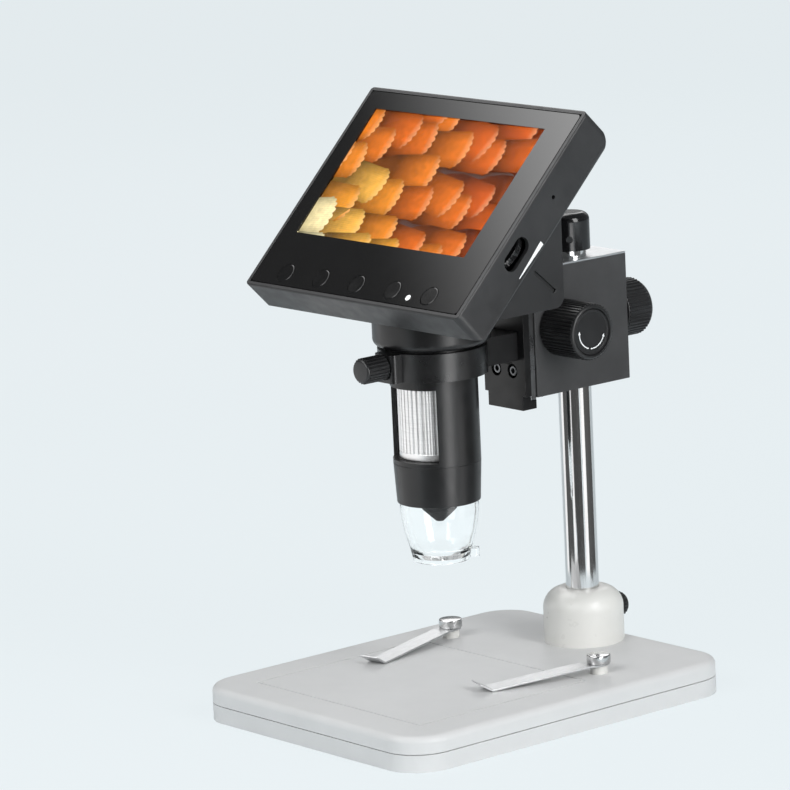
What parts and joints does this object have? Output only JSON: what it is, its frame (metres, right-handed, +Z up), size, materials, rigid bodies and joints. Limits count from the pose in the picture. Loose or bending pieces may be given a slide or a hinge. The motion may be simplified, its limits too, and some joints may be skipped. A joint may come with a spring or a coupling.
{
  "type": "lcd digital microscope",
  "caption": "Bench microscope with a tilted display on a focusing arm, which slides on a pole standing in a weighted base with specimen clips.",
  "frame": {"origin": "centre of the base's underside, on the table", "axes": "+Z up, the user sits at -Y, +X to the user's right"},
  "size_m": [0.126, 0.1725, 0.2258],
  "materials": {
    "white_shell": "satin",
    "collar_white": "gloss",
    "ballast_steel": "matte",
    "foot_rubber": "matte",
    "zinc_screw": "satin",
    "polished_chrome": "polished",
    "spring_steel": "satin",
    "knob_plastic": "satin",
    "arm_paint": "matte",
    "satin_aluminium": "satin",
    "slide_black": "satin",
    "gear_brass": "satin",
    "gear_steel": "satin",
    "tube_plastic": "satin",
    "housing_plastic": "satin",
    "panel_black": "gloss",
    "key_black": "satin",
    "display": "gloss",
    "circuit_board": "satin",
    "cell_foil": "satin",
    "light_white": "gloss",
    "port_metal": "satin",
    "dial_plastic": "satin",
    "wheel_silver": "satin",
    "barrel_metal": "satin",
    "optical_glass": "gloss",
    "clear_plastic": "gloss"
  },
  "bodies": {
    "stand": {"base_tray": "white_shell", "base_cover": "white_shell", "base_ballast": "ballast_steel", "base_feet": "foot_rubber", "base_screws": "zinc_screw", "pole_collar": "collar_white", "collar_fixings": "zinc_screw", "clip_posts": "collar_white", "clip_screws": "polished_chrome"},
    "clip_left_body": {"clip_left": "spring_steel"},
    "clip_right_body": {"clip_right": "spring_steel"},
    "pole_body": {"pole": "polished_chrome", "pole_cap": "knob_plastic"},
    "collar_clamp": {"collar_knob": "knob_plastic", "collar_screw": "zinc_screw"},
    "arm": {"arm_block": "arm_paint", "arm_top_plate": "satin_aluminium", "pinion_bush": "gear_brass"},
    "focus_drive": {"pinion_shaft": "gear_steel", "focus_knob": "knob_plastic"},
    "lock": {"lock_knob": "knob_plastic", "lock_knob_face": "knob_plastic", "lock_screw": "zinc_screw"},
    "pole_clamp": {"clamp_knob": "knob_plastic", "clamp_screw": "zinc_screw"},
    "carriage": {"slide_carriage": "slide_black", "slide_strips": "satin_aluminium", "dovetail_tongue": "slide_black", "focus_rack": "gear_brass", "carriage_screws": "zinc_screw", "holder_ring": "tube_plastic"},
    "sleeve": {"holder_sleeve": "tube_plastic"},
    "ring_clamp": {"ring_knob": "knob_plastic", "ring_screw": "zinc_screw"},
    "microscope": {"housing_shell": "housing_plastic", "rear_cover": "housing_plastic", "front_glass": "panel_black", "lcd_panel": "display", "main_board": "circuit_board", "battery": "cell_foil", "indicator_light": "light_white", "side_ports": "port_metal", "neck_ring": "tube_plastic", "tube_body": "tube_plastic", "nose_sleeve": "tube_plastic", "sensor_board": "circuit_board", "led_cover": "tube_plastic", "led_board": "light_white", "nose_cone": "tube_plastic"},
    "dial": {"brightness_dial": "dial_plastic"},
    "wheel": {"focus_wheel": "wheel_silver"},
    "lens": {"lens_barrel": "barrel_metal", "objective_lens": "optical_glass"},
    "cap": {"clear_cap": "clear_plastic"},
    "key_1": {"button_1": "key_black"},
    "key_2": {"button_2": "key_black"},
    "key_3": {"button_3": "key_black"},
    "key_4": {"button_4": "key_black"},
    "key_5": {"button_5": "key_black"}
  },
  "joints": [
    {"name": "clip_left_swing", "type": "hinge", "parent": "stand", "child": "clip_left_body", "pos_m": [-0.042, 0.03, 0.0166], "axis": [0, 0, 1], "range_deg": [-60, 35]},
    {"name": "clip_right_swing", "type": "hinge", "parent": "stand", "child": "clip_right_body", "pos_m": [0.042, 0.03, 0.0166], "axis": [0, 0, 1], "range_deg": [-35, 60]},
    {"name": "pole_swivel", "type": "hinge", "parent": "stand", "child": "pole_body", "pos_m": [0, 0.061, 0], "axis": [0, 0, 1], "range_deg": [-90, 90]},
    {"name": "collar_clamp_turn", "type": "hinge", "parent": "stand", "child": "collar_clamp", "pos_m": [0, 0.061, 0.0233], "axis": [0, 1, 0], "range_deg": [0, 270]},
    {"name": "arm_height", "type": "slide", "parent": "pole_body", "child": "arm", "axis": [0, 0, 1], "range_m": [-0.025, 0.002]},
    {"name": "lock_turn", "type": "hinge", "parent": "arm", "child": "lock", "pos_m": [0, 0.046, 0.1375], "axis": [1, 0, 0], "range_deg": [0, 120]},
    {"name": "pole_clamp_turn", "type": "hinge", "parent": "arm", "child": "pole_clamp", "pos_m": [0, 0.061, 0.1375], "axis": [0, 1, 0], "range_deg": [0, 270]},
    {"name": "focus_slide", "type": "slide", "parent": "arm", "child": "carriage", "axis": [0, 0, 1], "range_m": [-0.01, 0.01]},
    {"name": "focus_knob_turn", "type": "hinge", "parent": "arm", "child": "focus_drive", "pos_m": [0, 0.046, 0.1375], "axis": [1, 0, 0], "range_deg": [-90, 90]},
    {"name": "ring_clamp_turn", "type": "hinge", "parent": "carriage", "child": "ring_clamp", "pos_m": [0, -0.0325, 0.13355], "axis": [0, -1, 0], "range_deg": [0, 270]},
    {"name": "microscope_turn", "type": "hinge", "parent": "carriage", "child": "sleeve", "pos_m": [0, -0.0083, 0.133], "axis": [0, 0, 1], "range_deg": [-15, 15]},
    {"name": "microscope_lift", "type": "slide", "parent": "sleeve", "child": "microscope", "axis": [0, 0, 1], "range_m": [0, 0.045]},
    {"name": "brightness_turn", "type": "hinge", "parent": "microscope", "child": "dial", "pos_m": [0.05115, -0.01807, 0.17929], "axis": [0, -0.7071, 0.7071], "range_deg": [-135, 135]},
    {"name": "focus_wheel_turn", "type": "hinge", "parent": "microscope", "child": "wheel", "pos_m": [0, -0.0083, 0.11], "axis": [0, 0, 1], "range_deg": [-160, 160]},
    {"name": "lens_slide", "type": "slide", "parent": "microscope", "child": "lens", "axis": [0, 0, 1], "range_m": [-0.0025, 0.0025]},
    {"name": "cap_pull", "type": "slide", "parent": "microscope", "child": "cap", "axis": [0, 0, -1], "range_m": [0, 0.02]},
    {"name": "key_1_press", "type": "slide", "parent": "microscope", "child": "key_1", "axis": [0, 0.7071, -0.7071], "range_m": [0, 0.0005], "stiffness_N_per_m": 400},
    {"name": "key_2_press", "type": "slide", "parent": "microscope", "child": "key_2", "axis": [0, 0.7071, -0.7071], "range_m": [0, 0.0005], "stiffness_N_per_m": 400},
    {"name": "key_3_press", "type": "slide", "parent": "microscope", "child": "key_3", "axis": [0, 0.7071, -0.7071], "range_m": [0, 0.0005], "stiffness_N_per_m": 400},
    {"name": "key_4_press", "type": "slide", "parent": "microscope", "child": "key_4", "axis": [0, 0.7071, -0.7071], "range_m": [0, 0.0005], "stiffness_N_per_m": 400},
    {"name": "key_5_press", "type": "slide", "parent": "microscope", "child": "key_5", "axis": [0, 0.7071, -0.7071], "range_m": [0, 0.0005], "stiffness_N_per_m": 400}
  ],
  "couplings": [
    {"joint": "focus_knob_turn", "follows": "focus_slide", "rad_per_m": -153.85},
    {"joint": "focus_wheel_turn", "follows": "lens_slide", "rad_per_m": 1111.1}
  ]
}
